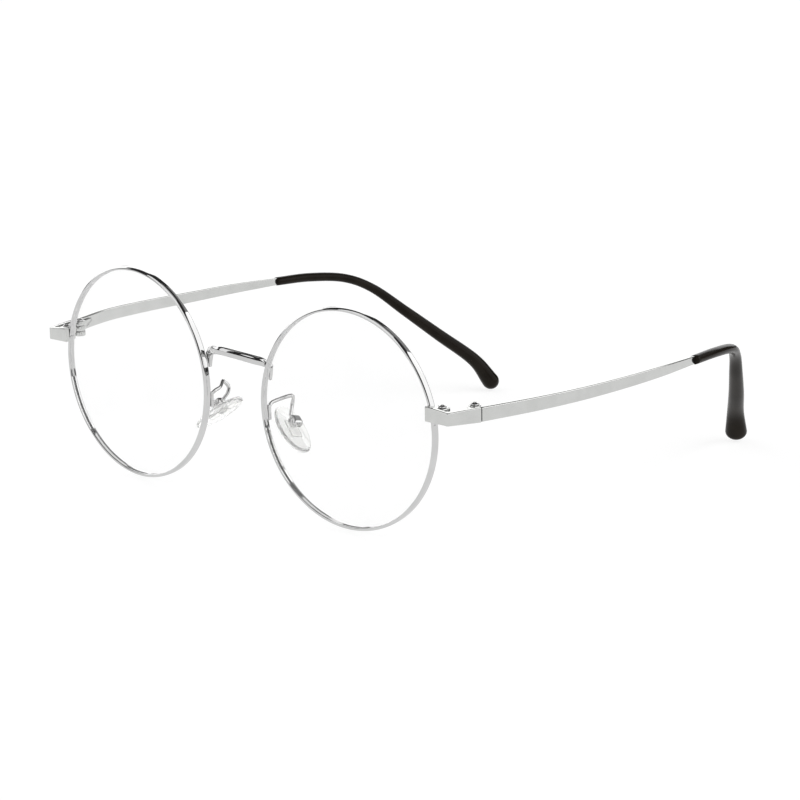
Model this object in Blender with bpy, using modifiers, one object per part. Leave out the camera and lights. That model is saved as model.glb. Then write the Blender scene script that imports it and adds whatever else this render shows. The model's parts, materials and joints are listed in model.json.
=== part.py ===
"""Round wire eyeglasses: two grooved rims, a bridge, endpieces, hinged temples and rocking nose pads.

Lengths are in millimetres up to the helpers, which make metres. Points are given in the front's own
frame: x runs to the wearer's left, y from the front back to the ears, z up along the rims, and the
rims' centres lie at y = 0, z = 0. The left half is built, and the right half is its mirror image.
"""

import math

import bmesh
import bpy
from mathutils import Matrix, Vector

MM = 0.001
GAP = 0.07  # clearance between two pieces that touch

# Driving dimensions: lens width, bridge width (lens to lens) and how the front stands.
LENS_DIAMETER = 50.0
LENS_TO_LENS = 18.0
FACE_WRAP = math.radians(2.8)  # each rim turns its temple side back
FRONT_LEAN = math.radians(3.138)  # the top of the front leans forward on a table

# Rim wire: a groove inside, the outer front edge rounded off.
RIM_WALL = 0.8
RIM_DEPTH = 1.66
RIM_BACK = 0.13  # the wire's middle stands this far behind the groove
GROOVE_DEPTH = 0.35
GROOVE_HALF = 0.33
RIM_STEPS = 64
RIM_OUTER = LENS_DIAMETER / 2 + RIM_WALL / 2 - 0.15
RIM_INNER = RIM_OUTER - RIM_WALL
RIM_X = LENS_TO_LENS / 2 + LENS_DIAMETER / 2 - 0.07
LENS_STEPS = 48
LENS_EDGE = 1.2
LENS_CURVE = 132.0  # radius of the lens's front, base four

# Endpiece: a bent plate, 2.9 high, in front of the rim and back to the hinge.
PLATE_LOW = 3.7
PLATE_HIGH = 6.6
PLATE_SLOPE = -0.03  # fall of the plate's edges towards the side
PLATE_RISE = 0.08  # extra rise of its top edge towards the lens
PLATE_FALL = 0.056  # fall of its bottom edge towards the temple
PLATE_CORNER = (64.05, -0.62)
SIDE_AWAY = Vector((0.245, 0.97, 0)).normalized()  # the way the side leg runs back
SIDE_OUT = Vector((SIDE_AWAY.y, -SIDE_AWAY.x, 0))
SEAM_INSIDE = Vector((65.04, 8.39, 0))
BAR_THICK = 1.18

# Hinge: three knuckles on one screw, inside the side leg.
KNUCKLE_R = 1.38
HINGE_REACH = KNUCKLE_R + 0.12
HINGE = SEAM_INSIDE - SIDE_OUT * HINGE_REACH
KNUCKLE_Z = (2.85, 4.04, 5.36, 6.5)
LEAF_THICK = 0.55
LEAF_LENGTH = 6.0
SCREW_R = 0.5

# Closing block, between the rim and the side leg, behind the plate.
BLOCK_X = (58.0, 61.7)
BLOCK_Y = (0.48, 3.1)
BLOCK_Z = (3.75, 5.06, 6.4)
RIM_SLIT = 0.14

# Nose pad: centre of its pivot screw and its own axes.
PAD_PIVOT = Vector((12.5, 5.6, -5.15))
PAD_LONG = Vector((0.754, -0.251, -0.607)).normalized()
PAD_WIDE = Vector((0.132, 0.963, -0.235))
PAD_HALF_LENGTH = 6.85
PAD_HALF_WIDTH = 4.0
PAD_THICK = 1.4
PAD_DROP = 0.45  # from the box's open side to the pad's back
PAD_SLIDE = 0.8  # the pad's middle is this far below its pivot along the pad
PAD_BOX = Vector((2.9, 2.9, 2.0))

BAR_HEIGHT = 3.3
# Temple bar: centre line, with the section's size as a share of that at the hinge.
BAR_PATH = [
    (65.62, 8.36, 4.82, 1.0),
    (68.9, 22.5, 4.72, 0.97),
    (70.1, 37.0, 4.25, 0.92),
    (70.05, 52.1, 3.75, 0.86),
    (69.5, 67.0, 3.4, 0.77),
    (68.0, 81.2, 2.97, 0.58),
]
# Temple tip: centre line and radius.
TIP_PATH = [
    (68.05, 81.4, 2.97, 1.1),
    (66.26, 92.0, 2.48, 1.15),
    (63.28, 102.2, 0.91, 1.15),
    (59.51, 109.2, -2.61, 1.19),
    (54.71, 116.3, -9.25, 1.4),
    (49.35, 123.97, -16.61, 1.6),
    (43.68, 131.6, -24.06, 1.78),
    (41.05, 135.6, -30.4, 2.3),
]
TIP_WIDE = 1.2  # the tip's section is this much wider than it is high
CORE_R = 0.5
CORE_LENGTH = 34.0
TIP_SIDES = 16

# Bridge: half of its centre line from the middle out, with its section's size.
BRIDGE_SIZE = (2.0, 1.55)
BRIDGE_SIDES = 10
BRIDGE_HALF = [
    (0.0, -5.1, 11.4, 1.0),
    (3.4, -4.0, 10.85, 1.0),
    (6.7, -1.55, 9.7, 1.05),
    (8.4, -0.4, 9.15, 0.98),
    (9.45, 0.55, 8.1, 0.68),
    (9.7, 0.7, 6.7, 0.6),
    (9.75, 0.68, 5.3, 0.45),
]

# Pad arm: a wire from the foot's top back over a bend and down to the pad box.
ARM_R = 0.45
ARM_PATH = [
    (9.3, 0.4, -1.2),
    (9.05, 1.5, -0.55),
    (9.3, 3.2, -0.2),
    (10.75, 5.3, 0.5),
    (11.2, 6.1, 0.35),
    (10.5, 6.9, -0.9),
    (10.35, 6.7, -2.3),
    (11.0, 5.56, -3.99),
]
FOOT = ((8.85, -0.1, -4.3), (9.75, 0.75, -0.7))


def clear_scene():
    for obj in list(bpy.data.objects):
        bpy.data.objects.remove(obj, do_unlink=True)


def collection(name):
    made = bpy.data.collections.new(name)
    bpy.context.scene.collection.children.link(made)
    return made


def material(name, colour, metallic, roughness, alpha=1.0):
    made = bpy.data.materials.new(name)
    made.use_nodes = True
    shader = made.node_tree.nodes["Principled BSDF"]
    shader.inputs["Base Color"].default_value = (*colour, 1.0)
    shader.inputs["Metallic"].default_value = metallic
    shader.inputs["Roughness"].default_value = roughness
    shader.inputs["Alpha"].default_value = alpha
    return made


clear_scene()
PARTS = collection("round_wire_eyeglasses")
CUTTERS = collection("cutters")
SATIN = material("satin_silver", (0.72, 0.72, 0.71), 1.0, 0.32)
POLISHED = material("polished_silver", (0.8, 0.8, 0.8), 1.0, 0.08)
CLEAR = material("clear_lens", (0.97, 0.98, 0.98), 0.0, 0.02, 0.15)
SILICONE = material("clear_silicone", (0.93, 0.94, 0.92), 0.0, 0.2, 0.4)
BLACK = material("black_acetate", (0.012, 0.012, 0.012), 0.0, 0.12)


# ---------------------------------------------------------------- helpers


def add(name, mesh, look, home=PARTS):
    obj = bpy.data.objects.new(name, mesh)
    obj.data.materials.clear()
    if look:
        obj.data.materials.append(look)
    home.objects.link(obj)
    return obj


def evaluated_mesh(obj):
    """The object's shape with its modifiers, in the front's frame, closed and facing out."""
    graph = bpy.context.evaluated_depsgraph_get()
    mesh = bpy.data.meshes.new_from_object(obj.evaluated_get(graph))
    mesh.transform(obj.matrix_world)
    form = bmesh.new()
    form.from_mesh(mesh)
    bmesh.ops.remove_doubles(form, verts=form.verts, dist=1e-7)
    bmesh.ops.recalc_face_normals(form, faces=form.faces)
    form.to_mesh(mesh)
    form.free()
    return mesh


def freeze(obj, name, look, smooth=None):
    """The same shape as a plain mesh object."""
    mesh = evaluated_mesh(obj)
    bpy.data.objects.remove(obj, do_unlink=True)
    made = add(name, mesh, look)
    if smooth:
        mesh.shade_smooth()
        mesh.set_sharp_from_angle(angle=math.radians(smooth))
    return made


def box(name, low, high, look, axes=None, bevel=0.0):
    """A box between two corners, or along three given axes about an origin."""
    low = Vector(low)
    high = Vector(high)
    form = bmesh.new()
    bmesh.ops.create_cube(form, size=1.0)
    bmesh.ops.scale(form, vec=(high - low) * MM, verts=form.verts)
    bmesh.ops.translate(form, vec=(high + low) / 2 * MM, verts=form.verts)
    if axes:
        form.transform(axes)
        bmesh.ops.recalc_face_normals(form, faces=form.faces)
    mesh = bpy.data.meshes.new(name)
    form.to_mesh(mesh)
    form.free()
    made = add(name, mesh, look)
    if bevel:
        round_edges(made, bevel)
    return made


def rod(name, start, end, radius, look, sides=20):
    """A cylinder from one point to another."""
    start = Vector(start)
    end = Vector(end)
    form = bmesh.new()
    bmesh.ops.create_cone(
        form,
        cap_ends=True,
        segments=sides,
        radius1=radius * MM,
        radius2=radius * MM,
        depth=(end - start).length * MM,
    )
    turn = (end - start).to_track_quat("Z", "Y").to_matrix().to_4x4()
    form.transform(Matrix.Translation((start + end) / 2 * MM) @ turn)
    mesh = bpy.data.meshes.new(name)
    form.to_mesh(mesh)
    form.free()
    return add(name, mesh, look)


def round_edges(obj, width, segments=2):
    bevel = obj.modifiers.new("rounded edges", "BEVEL")
    bevel.width = width * MM
    bevel.segments = segments
    bevel.limit_method = "ANGLE"
    bevel.angle_limit = math.radians(40)


def turned(name, profile, steps, look, place, closed=False, smooth=30):
    """A profile of (radius, height) points, turned about Z and then placed."""
    mesh = bpy.data.meshes.new(name)
    points = [(r * MM, 0, h * MM) for r, h in profile]
    edges = [(i, i + 1) for i in range(len(points) - 1)]
    if closed:
        edges.append((len(points) - 1, 0))
    mesh.from_pydata(points, edges, [])
    obj = add(name + " profile", mesh, None)
    screw = obj.modifiers.new("turn", "SCREW")
    screw.axis = "Z"
    screw.angle = math.tau
    screw.steps = steps
    screw.render_steps = steps
    screw.use_merge_vertices = True
    screw.merge_threshold = 1e-7
    obj.matrix_world = place
    bpy.context.view_layer.update()
    return freeze(obj, name, look, smooth)


def smooth_path(points, per_span):
    """Points of a Catmull-Rom curve through the given ones; every coordinate is interpolated."""
    count = len(points[0])
    ends = [[2 * points[0][k] - points[1][k] for k in range(count)]]
    tail = [[2 * points[-1][k] - points[-2][k] for k in range(count)]]
    knots = ends + [list(p) for p in points] + tail
    out = []
    for i in range(1, len(knots) - 2):
        a, b, c, d = knots[i - 1 : i + 3]
        for step in range(per_span):
            t = step / per_span
            out.append(
                [
                    0.5 * (2 * b[k] + (c[k] - a[k]) * t)
                    + 0.5 * (2 * a[k] - 5 * b[k] + 4 * c[k] - d[k]) * t**2
                    + 0.5 * (3 * b[k] - a[k] - 3 * c[k] + d[k]) * t**3
                    for k in range(count)
                ]
            )
    out.append(list(points[-1]))
    return out


def rounded_outline(half_width, half_height, corner):
    """A closed rounded rectangle, as (across, up) points."""
    points = []
    for turn in range(4):
        side = math.radians(90 * turn)
        across = half_width if turn in (0, 3) else -half_width
        up = half_height if turn in (0, 1) else -half_height
        for step in (0, 90):
            angle = side + math.radians(step)
            centre_x = across - math.copysign(corner, across)
            centre_y = up - math.copysign(corner, up)
            points.append(
                (centre_x + corner * math.cos(angle), centre_y + corner * math.sin(angle))
            )
    return points


def oval(half_width, half_height, sides):
    """A closed ellipse, as (across, up) points."""
    turns = [math.tau * step / sides for step in range(sides)]
    return [(half_width * math.cos(a), half_height * math.sin(a)) for a in turns]


def swept(name, path, look, radius=None, section=None, resolution=2, smooth=40):
    """A wire of the given radius, or a bar of the given section, along a path of (x, y, z, size)."""
    data = bpy.data.curves.new(name, "CURVE")
    data.dimensions = "3D"
    data.twist_mode = "Z_UP"
    data.use_fill_caps = True
    data.bevel_resolution = resolution
    spline = data.splines.new("POLY")
    spline.points.add(len(path) - 1)
    for point, (x, y, z, size) in zip(spline.points, path):
        point.co = (x * MM, y * MM, z * MM, 1)
        point.radius = size
    profile = None
    if section:
        outline = bpy.data.curves.new(name + " section", "CURVE")
        loop = outline.splines.new("POLY")
        loop.points.add(len(section) - 1)
        loop.use_cyclic_u = True
        for point, (across, up) in zip(loop.points, section):
            point.co = (across * MM, up * MM, 0, 1)
        profile = bpy.data.objects.new(name + " section", outline)
        CUTTERS.objects.link(profile)
        data.bevel_mode = "OBJECT"
        data.bevel_object = profile
    else:
        data.bevel_depth = radius * MM
    curve = bpy.data.objects.new(name + " path", data)
    PARTS.objects.link(curve)
    bpy.context.view_layer.update()
    made = freeze(curve, name, look, smooth)
    if profile:
        bpy.data.objects.remove(profile, do_unlink=True)
    return made


def flat(name, outline, low, high, look):
    """A plate with the given (x, y) outline between two heights."""
    data = bpy.data.curves.new(name, "CURVE")
    data.dimensions = "2D"
    data.fill_mode = "BOTH"
    data.extrude = (high - low) / 2 * MM
    spline = data.splines.new("POLY")
    spline.points.add(len(outline) - 1)
    spline.use_cyclic_u = True
    for point, (x, y) in zip(spline.points, outline):
        point.co = (x * MM, y * MM, 0, 1)
    curve = bpy.data.objects.new(name + " outline", data)
    PARTS.objects.link(curve)
    curve.location.z = (high + low) / 2 * MM
    bpy.context.view_layer.update()
    return freeze(curve, name, look, 30)


def corner_arc(before, corner, after, radius, steps):
    """Points of the arc that rounds a corner of an outline."""
    corner = Vector(corner)
    one = (Vector(before) - corner).normalized()
    two = (Vector(after) - corner).normalized()
    half = one.angle(two) / 2
    centre = corner + (one + two).normalized() * radius / math.sin(half)
    start = corner + one * radius / math.tan(half) - centre
    end = corner + two * radius / math.tan(half) - centre
    turn = start.angle_signed(end)
    return [
        tuple(centre + Matrix.Rotation(-turn * k / steps, 2) @ start)
        for k in range(steps + 1)
    ]


def combine(obj, other, operation):
    """Cuts or joins another object, which becomes a hidden cutter."""
    change = obj.modifiers.new(operation.lower() + " " + other.name, "BOOLEAN")
    change.operation = operation
    change.solver = "EXACT"
    change.object = other
    if other.name not in CUTTERS.objects:
        for home in list(other.users_collection):
            home.objects.unlink(other)
        CUTTERS.objects.link(other)
        other.hide_render = True
        other.display_type = "WIRE"


def cut(obj, *others):
    for other in others:
        combine(obj, other, "DIFFERENCE")


def join(obj, *others):
    for other in others:
        combine(obj, other, "UNION")


def extend(point, back, distance, size):
    """The point that far past the end of a path, away from the one before it."""
    start = Vector(point[:3])
    away = (start - Vector(back[:3])).normalized()
    return (*(start + away * distance), size)


# ---------------------------------------------------------------- front

RIM_PLACE = (
    Matrix.Translation(Vector((RIM_X, 0, 0)) * MM)
    @ Matrix.Rotation(FACE_WRAP, 4, "Z")
    @ Matrix.Rotation(math.pi / 2, 4, "X")
)


def rim():
    """The grooved wire ring, slit at the temple side between the closing blocks."""
    front = RIM_DEPTH / 2 - RIM_BACK
    back = -RIM_DEPTH / 2 - RIM_BACK
    profile = [
        (RIM_OUTER - 0.4, front),
        (RIM_OUTER - 0.08, front - 0.36),
        (RIM_OUTER, front - 0.7),
        (RIM_OUTER, back + 0.14),
        (RIM_OUTER - 0.14, back),
        (RIM_INNER + 0.2, back),
        (RIM_INNER, back + 0.2),
        (RIM_INNER, -GROOVE_HALF),
        (RIM_INNER + GROOVE_DEPTH, 0),
        (RIM_INNER, GROOVE_HALF),
        (RIM_INNER, front - 0.14),
        (RIM_INNER + 0.12, front),
    ]
    made = turned("left_rim", profile, RIM_STEPS, POLISHED, RIM_PLACE, closed=True)
    low = (BLOCK_X[0] - 1.2, -1.0, BLOCK_Z[1] - RIM_SLIT / 2)
    high = (BLOCK_X[1], 4.0, BLOCK_Z[1] + RIM_SLIT / 2)
    cut(made, box("rim_slit", low, high, None))
    return made


def lens():
    """A clear curved lens whose bevelled edge stands in the rim's groove."""
    shoulder = RIM_INNER - 0.12
    apex = RIM_INNER + GROOVE_DEPTH - 0.12
    rings = [shoulder * share for share in (0.0, 0.5, 1.0)]
    edge_sag = LENS_CURVE - math.sqrt(LENS_CURVE**2 - shoulder**2)
    front = []
    for radius in rings:
        sag = LENS_CURVE - math.sqrt(LENS_CURVE**2 - radius**2)
        front.append((radius, LENS_EDGE / 2 + edge_sag - sag))
    back = [(radius, height - LENS_EDGE) for radius, height in reversed(front)]
    bevel = [(shoulder, GROOVE_HALF), (apex, 0), (shoulder, -GROOVE_HALF)]
    profile = front + bevel + back
    return turned("left_lens", profile, LENS_STEPS, CLEAR, RIM_PLACE, smooth=20)


def bridge():
    """One arched bar, its ends turned down into tabs behind the rims."""
    half = smooth_path(BRIDGE_HALF, 3)
    path = [(-x, y, z, size) for x, y, z, size in reversed(half[1:])]
    path += [tuple(point) for point in half]
    section = oval(BRIDGE_SIZE[1] / 2, BRIDGE_SIZE[0] / 2, BRIDGE_SIDES)
    return swept("bridge", path, POLISHED, section=section)


def endpiece():
    """A flat plate bent from the rim's front round to the side, ending at the temple's seam."""
    inner_end = 57.7
    front = Vector(PLATE_CORNER)
    seam_out = (SEAM_INSIDE + SIDE_OUT * BAR_THICK).to_2d()
    seam_in = SEAM_INSIDE.to_2d()
    back = 0.34
    away = SIDE_AWAY.to_2d()
    elbow = seam_in + away * (back - seam_in.y) / away.y
    start = Vector((inner_end, -0.95))
    outline = [tuple(start)]
    outline += corner_arc(start, front, seam_out, 0.9, 5)
    outline += [tuple(seam_out), tuple(seam_in)]
    outline += corner_arc(seam_in, elbow, (inner_end, back), 0.4, 2)
    outline += [(inner_end, back)]
    made = flat("left_endpiece", outline, PLATE_LOW, PLATE_HIGH, SATIN)
    middle = (PLATE_LOW + PLATE_HIGH) / 2 * MM
    corner = Vector(PLATE_CORNER) * MM
    for vertex in made.data.vertices:
        place = vertex.co
        if place.z > middle:
            place.z += PLATE_RISE * max(0, corner.x - place.x)
        else:
            place.z -= PLATE_FALL * max(0, place.y - corner.y)
        place.z += PLATE_SLOPE * (place.x - 62 * MM)
    return made


def closing_blocks():
    """The two halves of the barrel that pulls the rim's ends together, and their screw."""
    half = 4.0
    radius = RIM_OUTER + GAP
    profile = [(0, half), (radius, half), (radius, -half), (0, -half)]
    rim_room = turned("rim_room", profile, RIM_STEPS, None, RIM_PLACE)
    centre = (60.4, 1.85)
    hole = rod("closing_hole", (*centre, 2.5), (*centre, 7.5), SCREW_R + GAP, None)
    made = []
    names = ("left_lower_closing_block", "left_upper_closing_block")
    for i, name in enumerate(names):
        low = (BLOCK_X[0], BLOCK_Y[0], BLOCK_Z[i] + (RIM_SLIT / 2 if i else 0))
        high = (BLOCK_X[1], BLOCK_Y[1], BLOCK_Z[i + 1] - (0 if i else RIM_SLIT / 2))
        block = box(name, low, high, SATIN, bevel=0.22)
        cut(block, rim_room, hole)
        made.append(block)
    top = BLOCK_Z[2] + GAP
    made.append(dome_screw("left_closing_screw", centre, top, 0.95, top - BLOCK_Z[0] - 0.2))
    return made


def dome_screw(name, centre, top, head, length, place=None, rise=0.5):
    """A screw with a low domed head and a cross-cut drive."""
    flank = 0.15
    profile = [(0, rise), (head * 0.55, rise * 0.88), (head * 0.9, rise * 0.5), (head, flank)]
    profile += [(head, 0), (SCREW_R - 0.02, 0), (SCREW_R - 0.02, 0.1 - length)]
    profile += [(SCREW_R - 0.12, -length), (0, -length)]
    stand = place or Matrix.Translation(Vector((*centre, top)) * MM)
    made = turned(name, profile, 14, POLISHED, stand)
    slot = head * 0.7
    low = (-slot, -0.14, rise * 0.45)
    cut(made, box(name + "_slot", low, (slot, 0.14, rise * 2), None, axes=stand))
    return made


# ---------------------------------------------------------------- hinge and temple


def hinge_axes():
    """Axes at the hinge: along the side, outward, up."""
    turn = Matrix((SIDE_AWAY, SIDE_OUT, Vector((0, 0, 1)))).transposed().to_4x4()
    return Matrix.Translation(HINGE * MM) @ turn


def knuckle(name, low, high):
    foot = Vector((HINGE.x, HINGE.y, low))
    return rod(name, foot, Vector((HINGE.x, HINGE.y, high)), KNUCKLE_R, SATIN)


def hinge_hole(name):
    foot = Vector((HINGE.x, HINGE.y, 2.0))
    return rod(name, foot, Vector((HINGE.x, HINGE.y, 7.2)), SCREW_R + GAP, None)


def front_hinge_leaf():
    """The leaf on the endpiece, with the top and bottom knuckles."""
    axes = hinge_axes()
    low_z, low_top, high_low, high_z = KNUCKLE_Z
    inner = HINGE_REACH - GAP - LEAF_THICK
    outer = HINGE_REACH - GAP
    low = (-LEAF_LENGTH, inner, low_z + 0.5)
    made = box("left_front_hinge_leaf", low, (-0.3, outer, high_z - 0.3), SATIN, axes=axes)
    webs = ((low_z, low_top - GAP), (high_low + GAP, high_z))
    for i, (bottom, top) in enumerate(webs):
        join(made, knuckle(f"front_knuckle_{i}", bottom, top))
        web_low = (-2.2, 0.2, bottom + 0.15)
        web_high = (0.1, inner + 0.3, top - 0.15)
        join(made, box(f"front_web_{i}", web_low, web_high, None, axes=axes))
    slot_low = (-KNUCKLE_R - 0.15, -2.0, low_top - GAP / 2)
    slot = box("front_slot", slot_low, (2.0, 2.0, high_low + GAP / 2), None, axes=axes)
    cut(made, slot, hinge_hole("front_hinge_hole"))
    return made


def temple_hinge_leaf():
    """The leaf on the temple, with the middle knuckle."""
    axes = hinge_axes()
    low, high = KNUCKLE_Z[1] + GAP / 2, KNUCKLE_Z[2] - GAP / 2
    inner = HINGE_REACH - GAP - LEAF_THICK
    outer = HINGE_REACH - GAP
    start = (KNUCKLE_R + 0.3, inner, low - 0.4)
    end = (LEAF_LENGTH + 0.6, outer, high + 0.4)
    made = box("left_temple_hinge_leaf", start, end, SATIN, axes=axes)
    join(made, knuckle("temple_knuckle", low, high))
    web = box("temple_web", (0, 0.2, low + 0.15), (2.4, inner + 0.3, high - 0.15), None, axes=axes)
    join(made, web)
    cut(made, hinge_hole("temple_hinge_hole"))
    return made


def temple_bar():
    """The bowed flat bar, whose core wire runs on inside the tip."""
    section = rounded_outline(BAR_THICK / 2, BAR_HEIGHT / 2, 0.22)
    path = smooth_path(BAR_PATH, 3)
    made = swept("left_temple_bar", path, SATIN, section=section)
    tip = smooth_path(TIP_PATH, 3)
    core = [path[-2]] + [point for point in tip if point[1] < TIP_PATH[0][1] + CORE_LENGTH]
    core = [(x, y, z, 1.0) for x, y, z, _ in core]
    join(made, swept("core_wire", core, None, radius=CORE_R, resolution=1))
    return made


def temple_tip():
    """The black tip that slides over the core wire, flared to a round paddle at its end."""
    path = smooth_path(TIP_PATH, 3)
    first, second = path[0], path[1]
    collar = 0.12
    start = [(*first[:3], first[3] - collar), extend(first, second, -collar, first[3])]
    radius = path[-1][3]
    end = []
    for share in (0.4, 0.7, 0.9, 0.99):
        end.append(extend(path[-1], path[-2], radius * share, radius * math.sqrt(1 - share**2)))
    section = oval(TIP_WIDE, 1.0, TIP_SIDES)
    made = swept("left_temple_tip", start + path[1:] + end, BLACK, section=section)
    room = [point for point in path if point[1] < TIP_PATH[0][1] + CORE_LENGTH + 1.0]
    room = [extend(first, second, 1.0, 1.0)] + [(x, y, z, 1.0) for x, y, z, _ in room]
    cut(made, swept("core_room", room, None, radius=CORE_R + GAP, resolution=1))
    return made


# ---------------------------------------------------------------- nose pads


def pad_axes():
    """Axes at the pad's pivot: along the pad, across it, and away from the nose."""
    away = PAD_LONG.cross(PAD_WIDE).normalized()
    across = away.cross(PAD_LONG).normalized()
    turn = Matrix((PAD_LONG, across, away)).transposed().to_4x4()
    return Matrix.Translation(PAD_PIVOT * MM) @ turn


def pad_hole(name):
    axes = pad_axes()
    across = axes.to_3x3().col[1]
    reach = 3.0
    start = PAD_PIVOT - across * reach
    return rod(name, start, PAD_PIVOT + across * reach, SCREW_R * 0.8 + GAP, None, sides=16)


def pad_arm():
    """The foot behind the rim and the wire from it to the pad box, in one piece."""
    made = box("left_pad_arm", FOOT[0], FOOT[1], POLISHED, bevel=0.15)
    wire = [(*point, 1.0) for point in ARM_PATH]
    join(made, swept("arm_wire", smooth_path(wire, 3), None, radius=ARM_R))
    return made


def pad_box():
    """A little channel, open to the pad, brazed to the arm's end."""
    axes = pad_axes()
    half = PAD_BOX / 2
    made = box("left_pad_box", -half, half, POLISHED, axes=axes, bevel=0.2)
    room = box("pad_box_room", (-3, -0.85, -2), (3, 0.85, half.z - 0.22), None, axes=axes)
    cut(made, room, pad_hole("pad_box_hole"))
    return made


def pad_screw():
    """The small screw that the pad rocks on."""
    axes = pad_axes()
    stand = axes @ Matrix.Translation((0, -(PAD_BOX.y / 2 + GAP) * MM, 0))
    stand = stand @ Matrix.Rotation(math.pi / 2, 4, "X")
    head, shaft, length = 0.7, SCREW_R * 0.8, PAD_BOX.y - 0.1
    profile = [(0, 0.35), (0.45, 0.3), (head, 0.1), (head, 0), (shaft, 0), (shaft, -length)]
    made = turned("left_pad_screw", profile + [(0, -length)], 12, POLISHED, stand)
    slot = box("pad_screw_slot", (-0.45, -0.1, 0.15), (0.45, 0.1, 0.6), None, axes=stand)
    cut(made, slot)
    return made


def pad_insert():
    """The lug that hangs on the pad screw, with the plate that holds the silicone."""
    axes = pad_axes()
    top = -PAD_BOX.z / 2 - PAD_DROP - 0.05
    low = (PAD_SLIDE - 2.4, -1.5, top - 0.45)
    made = box("left_pad_insert", low, (PAD_SLIDE + 2.4, 1.5, top), CLEAR, axes=axes, bevel=0.12)
    lug_half = 0.75
    across = axes.to_3x3().col[1]
    start, end = PAD_PIVOT - across * lug_half, PAD_PIVOT + across * lug_half
    join(made, rod("pad_lug_eye", start, end, 0.68, None))
    low = (-0.7, -lug_half, top - 0.2)
    join(made, box("pad_lug", low, (0.7, lug_half, 0), None, axes=axes))
    cut(made, pad_hole("pad_insert_hole"))
    return made


def nose_pad():
    """The silicone pad, with a pocket for the insert's plate."""
    axes = pad_axes()
    top = -PAD_BOX.z / 2 - PAD_DROP
    form = bmesh.new()
    bmesh.ops.create_cone(
        form,
        cap_ends=True,
        segments=32,
        radius1=PAD_HALF_WIDTH * MM,
        radius2=PAD_HALF_WIDTH * MM,
        depth=PAD_THICK * MM,
    )
    stretch = PAD_HALF_LENGTH / PAD_HALF_WIDTH
    bmesh.ops.scale(form, vec=(stretch, 1, 1), verts=form.verts)
    centre = Vector((PAD_SLIDE, 0, top - PAD_THICK / 2)) * MM
    form.transform(axes @ Matrix.Translation(centre))
    mesh = bpy.data.meshes.new("left_nose_pad")
    form.to_mesh(mesh)
    form.free()
    made = add("left_nose_pad", mesh, SILICONE)
    round_edges(made, 0.45, 2)
    low = (PAD_SLIDE - 2.4 - GAP, -1.5 - GAP, top - 0.5 - GAP)
    pocket = box("pad_pocket", low, (PAD_SLIDE + 2.4 + GAP, 1.5 + GAP, top + 1), None, axes=axes)
    cut(made, pocket)
    return made


# ---------------------------------------------------------------- assembly


def mirrored(obj):
    """The wearer's right piece of a left one."""
    mesh = evaluated_mesh(obj)
    mesh.transform(Matrix.Scale(-1, 4, (1, 0, 0)))
    mesh.flip_normals()
    return add(obj.name.replace("left_", "right_"), mesh, obj.data.materials[0])


def empty(name, location, parent):
    made = bpy.data.objects.new(name, None)
    made.empty_display_size = 5 * MM
    made.location = Vector(location) * MM
    made.parent = parent
    PARTS.objects.link(made)
    return made


def hang(pieces, parent):
    """Parents pieces built in the front's frame to an empty of the front."""
    for piece in pieces:
        piece.parent = parent
        if parent.parent:
            piece.matrix_parent_inverse = Matrix.Translation(-parent.location)


def stand_on_floor(root):
    """Moves the whole so that its box stands on z = 0, centred on the origin."""
    bpy.context.view_layer.update()
    graph = bpy.context.evaluated_depsgraph_get()
    corners = []
    for obj in PARTS.objects:
        if obj.type == "MESH":
            shape = obj.evaluated_get(graph)
            corners += [shape.matrix_world @ v.co for v in shape.data.vertices]
    low = [min(corner[k] for corner in corners) for k in range(3)]
    high = [max(corner[k] for corner in corners) for k in range(3)]
    root.location = (0, -(low[1] + high[1]) / 2, -low[2])


def build():
    front = [rim(), lens(), endpiece(), *closing_blocks()]
    front += [front_hinge_leaf()]
    centre = tuple(HINGE.to_2d())
    front += [dome_screw("left_hinge_screw", centre, KNUCKLE_Z[3] + GAP, 1.05, 3.55)]
    front += [pad_arm(), pad_box(), pad_screw()]
    temple = [temple_bar(), temple_hinge_leaf(), temple_tip()]
    pad = [pad_insert(), nose_pad()]
    root = empty("front_frame", (0, 0, 0), None)
    root.rotation_euler.x = FRONT_LEAN
    bpy.context.view_layer.update()
    groups = {"left": (front, temple, pad)}
    groups["right"] = [[mirrored(piece) for piece in pieces] for pieces in groups["left"]]
    for side, name in ((1, "left"), (-1, "right")):
        hinge = empty(name + "_temple_hinge", (side * HINGE.x, HINGE.y, 0), root)
        pivot = empty(name + "_pad_pivot", (side * PAD_PIVOT.x, PAD_PIVOT.y, PAD_PIVOT.z), root)
        for pieces, parent in zip(groups[name], (root, hinge, pivot)):
            hang(pieces, parent)
    hang([bridge()], root)
    hang([piece for piece in CUTTERS.objects], root)
    stand_on_floor(root)


build()
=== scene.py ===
import json
import math

import bmesh
import bpy
from mathutils import Matrix, Vector

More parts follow.
